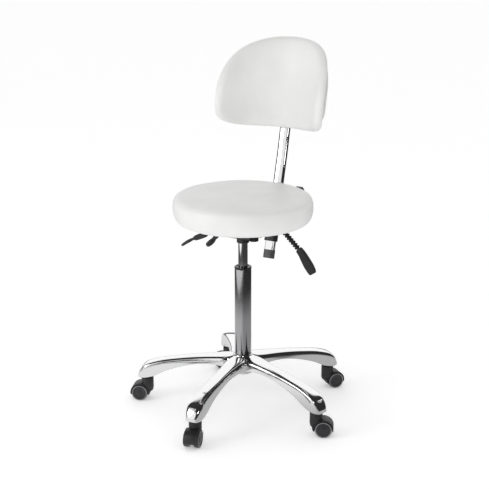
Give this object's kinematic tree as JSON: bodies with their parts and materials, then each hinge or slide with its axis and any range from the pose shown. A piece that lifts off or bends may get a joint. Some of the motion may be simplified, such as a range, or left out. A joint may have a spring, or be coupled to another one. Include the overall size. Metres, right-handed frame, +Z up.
{
  "type": "pedicure stool",
  "caption": "Low swivel work stool: round padded seat on a gas lift, star base on twin-wheel castors, adjustable half-round wrap backrest on a flat-oval bar.",
  "frame": {"origin": "centre of the overall outline, on the floor", "axes": "+Z up; the user faces -Y; +X is the user's left"},
  "size_m": [0.6805, 0.6951, 1.0962],
  "materials": {
    "leather": "soft satin",
    "polished": "mirror polished",
    "steel": "zinc plated",
    "black_steel": "satin black paint",
    "black_plastic": "fine grained",
    "wheel_plastic": "smooth nylon",
    "board": "plywood",
    "shell": "white moulded"
  },
  "bodies": {
    "base": {"base_star": "polished", "column_tube": "polished", "column_bush": "black_plastic", "thrust_bearing": "steel", "caster_stem_1": "steel", "caster_stem_2": "steel", "caster_stem_3": "steel", "caster_stem_4": "steel", "caster_stem_5": "steel"},
    "caster_1": {"caster_hood_1": "black_plastic", "caster_axle_1": "steel"},
    "wheel_1_a": {"caster_wheel_1_a": "wheel_plastic"},
    "wheel_1_b": {"caster_wheel_1_b": "wheel_plastic"},
    "caster_2": {"caster_hood_2": "black_plastic", "caster_axle_2": "steel"},
    "wheel_2_a": {"caster_wheel_2_a": "wheel_plastic"},
    "wheel_2_b": {"caster_wheel_2_b": "wheel_plastic"},
    "caster_3": {"caster_hood_3": "black_plastic", "caster_axle_3": "steel"},
    "wheel_3_a": {"caster_wheel_3_a": "wheel_plastic"},
    "wheel_3_b": {"caster_wheel_3_b": "wheel_plastic"},
    "caster_4": {"caster_hood_4": "black_plastic", "caster_axle_4": "steel"},
    "wheel_4_a": {"caster_wheel_4_a": "wheel_plastic"},
    "wheel_4_b": {"caster_wheel_4_b": "wheel_plastic"},
    "caster_5": {"caster_hood_5": "black_plastic", "caster_axle_5": "steel"},
    "wheel_5_a": {"caster_wheel_5_a": "wheel_plastic"},
    "wheel_5_b": {"caster_wheel_5_b": "wheel_plastic"},
    "spindle": {"piston_rod": "steel", "retaining_clip": "steel"},
    "lift": {"gas_cylinder": "polished", "taper_socket": "black_steel", "mechanism_pan": "black_steel", "seat_pivot_pin": "steel", "back_pivot_pin": "steel"},
    "valve": {"valve_button": "steel"},
    "lift_lever": {"lift_lever_rod": "black_steel", "lift_lever_paddle": "black_plastic"},
    "tilt_lever": {"tilt_lever_rod": "black_steel", "tilt_lever_paddle": "black_plastic"},
    "back_lever": {"back_lever_rod": "black_steel", "back_lever_sleeve": "black_plastic", "back_lever_paddle": "black_plastic"},
    "seat": {"seat_cushion": "leather", "seat_board": "board", "seat_plate": "black_steel", "seat_bolt_1": "steel", "seat_bolt_2": "steel", "seat_bolt_3": "steel", "seat_bolt_4": "steel"},
    "back_frame": {"back_bracket": "black_steel", "bar_sleeve": "black_steel"},
    "knob": {"clamp_knob": "black_plastic"},
    "backrest": {"back_bar": "polished", "bar_end_cap": "black_plastic", "pad_board": "shell", "pad_cushion": "leather", "pad_bolt_1": "steel", "pad_bolt_2": "steel"}
  },
  "joints": [
    {"name": "caster_swivel_1", "type": "hinge", "parent": "base", "child": "caster_1", "pos_m": [0.17634, 0.24971, 0.0445], "axis": [0, 0, 1], "continuous": true},
    {"name": "wheel_spin_1_a", "type": "hinge", "parent": "caster_1", "child": "wheel_1_a", "pos_m": [0.19077, 0.26631, 0.025], "axis": [-0.7547, 0.6561, 0], "continuous": true},
    {"name": "wheel_spin_1_b", "type": "hinge", "parent": "caster_1", "child": "wheel_1_b", "pos_m": [0.19077, 0.26631, 0.025], "axis": [-0.7547, 0.6561, 0], "continuous": true},
    {"name": "caster_swivel_2", "type": "hinge", "parent": "base", "child": "caster_2", "pos_m": [-0.17634, 0.24971, 0.0445], "axis": [0, 0, 1], "continuous": true},
    {"name": "wheel_spin_2_a", "type": "hinge", "parent": "caster_2", "child": "wheel_2_a", "pos_m": [-0.19189, 0.23415, 0.025], "axis": [0.7071, -0.7071, 0], "continuous": true},
    {"name": "wheel_spin_2_b", "type": "hinge", "parent": "caster_2", "child": "wheel_2_b", "pos_m": [-0.19189, 0.23415, 0.025], "axis": [0.7071, -0.7071, 0], "continuous": true},
    {"name": "caster_swivel_3", "type": "hinge", "parent": "base", "child": "caster_3", "pos_m": [-0.28532, -0.08571, 0.0445], "axis": [0, 0, 1], "continuous": true},
    {"name": "wheel_spin_3_a", "type": "hinge", "parent": "caster_3", "child": "wheel_3_a", "pos_m": [-0.30612, -0.09287, 0.025], "axis": [0.3256, -0.9455, 0], "continuous": true},
    {"name": "wheel_spin_3_b", "type": "hinge", "parent": "caster_3", "child": "wheel_3_b", "pos_m": [-0.30612, -0.09287, 0.025], "axis": [0.3256, -0.9455, 0], "continuous": true},
    {"name": "caster_swivel_4", "type": "hinge", "parent": "base", "child": "caster_4", "pos_m": [0, -0.293, 0.0445], "axis": [0, 0, 1], "continuous": true},
    {"name": "wheel_spin_4_a", "type": "hinge", "parent": "caster_4", "child": "wheel_4_a", "pos_m": [0.0042, -0.3146, 0.025], "axis": [0.9816, 0.1908, 0], "continuous": true},
    {"name": "wheel_spin_4_b", "type": "hinge", "parent": "caster_4", "child": "wheel_4_b", "pos_m": [0.0042, -0.3146, 0.025], "axis": [0.9816, 0.1908, 0], "continuous": true},
    {"name": "caster_swivel_5", "type": "hinge", "parent": "base", "child": "caster_5", "pos_m": [0.28532, -0.08571, 0.0445], "axis": [0, 0, 1], "continuous": true},
    {"name": "wheel_spin_5_a", "type": "hinge", "parent": "caster_5", "child": "wheel_5_a", "pos_m": [0.30572, -0.07746, 0.025], "axis": [-0.3746, 0.9272, 0], "continuous": true},
    {"name": "wheel_spin_5_b", "type": "hinge", "parent": "caster_5", "child": "wheel_5_b", "pos_m": [0.30572, -0.07746, 0.025], "axis": [-0.3746, 0.9272, 0], "continuous": true},
    {"name": "seat_swivel", "type": "hinge", "parent": "base", "child": "spindle", "pos_m": [0, 0.007, 0.118], "axis": [0, 0, 1], "continuous": true},
    {"name": "height_slide", "type": "slide", "parent": "spindle", "child": "lift", "axis": [0, 0, 1], "range_m": [-0.068, 0.065]},
    {"name": "valve_press", "type": "slide", "parent": "lift", "child": "valve", "axis": [0, 0, -1], "range_m": [0, 0.004], "stiffness_N_per_m": 120},
    {"name": "lift_lever_pull", "type": "hinge", "parent": "lift", "child": "lift_lever", "pos_m": [-0.046, 0.007, 0.5768], "axis": [0, 1, 0], "range_deg": [0, 4.5], "stiffness_Nm_per_rad": 6, "springref_deg": -2.86},
    {"name": "tilt_lever_turn", "type": "hinge", "parent": "lift", "child": "tilt_lever", "pos_m": [0, -0.038, 0.556], "axis": [1, 0, 0], "range_deg": [-35, 0]},
    {"name": "back_lever_turn", "type": "hinge", "parent": "lift", "child": "back_lever", "pos_m": [0, 0.092, 0.552], "axis": [1, 0, 0], "range_deg": [-30, 0]},
    {"name": "seat_tilt", "type": "hinge", "parent": "lift", "child": "seat", "pos_m": [0, 0.052, 0.558], "axis": [1, 0, 0], "range_deg": [-1.2, 4]},
    {"name": "back_tilt", "type": "hinge", "parent": "lift", "child": "back_frame", "pos_m": [0, 0.092, 0.552], "axis": [-1, 0, 0], "range_deg": [-3, 12]},
    {"name": "knob_turn", "type": "hinge", "parent": "back_frame", "child": "knob", "pos_m": [0.02, 0.242, 0.628], "axis": [1, 0, 0], "continuous": true},
    {"name": "backrest_slide", "type": "slide", "parent": "back_frame", "child": "backrest", "axis": [0, 0.2834, 0.959], "range_m": [-0.06, 0.024]}
  ],
  "couplings": [
    {"joint": "valve_press", "follows": "lift_lever_pull", "m_per_rad": 0.05}
  ]
}
